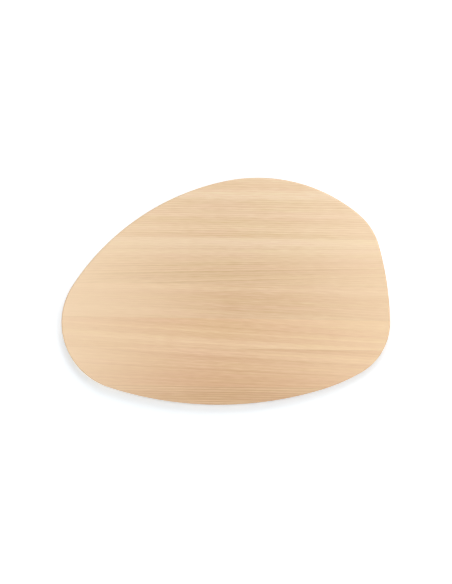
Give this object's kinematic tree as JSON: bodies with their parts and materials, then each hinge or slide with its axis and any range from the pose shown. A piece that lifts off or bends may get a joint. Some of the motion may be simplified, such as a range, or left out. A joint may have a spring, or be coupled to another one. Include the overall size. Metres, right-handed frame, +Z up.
{
  "type": "cutting board",
  "caption": "Flat egg-shaped wooden cutting board with rounded edges, glued up edge to edge from long pale softwood staves, for cutting food on either face.",
  "frame": {"origin": "on the face that the board lies on, in the middle of its length and width", "axes": "+X along the grain from the narrow tip to the blunt end, +Y towards the fuller long side, +Z up out of the cutting face"},
  "size_m": [0.394, 0.273, 0.015],
  "materials": {
    "crown_stave_wood": "matte",
    "upper_stave_wood": "matte",
    "upper_middle_stave_wood": "matte",
    "middle_stave_wood": "matte",
    "lower_middle_stave_wood": "matte",
    "lower_stave_wood": "matte",
    "belly_stave_wood": "matte",
    "set_glue": "satin"
  },
  "bodies": {
    "root": {"crown_stave": "crown_stave_wood", "crown_glue_line": "set_glue", "upper_stave": "upper_stave_wood", "upper_glue_line": "set_glue", "upper_middle_stave": "upper_middle_stave_wood", "upper_middle_glue_line": "set_glue", "middle_stave": "middle_stave_wood", "middle_glue_line": "set_glue", "lower_middle_stave": "lower_middle_stave_wood", "lower_middle_glue_line": "set_glue", "lower_stave": "lower_stave_wood", "lower_glue_line": "set_glue", "belly_stave": "belly_stave_wood"}
  },
  "joints": []
}
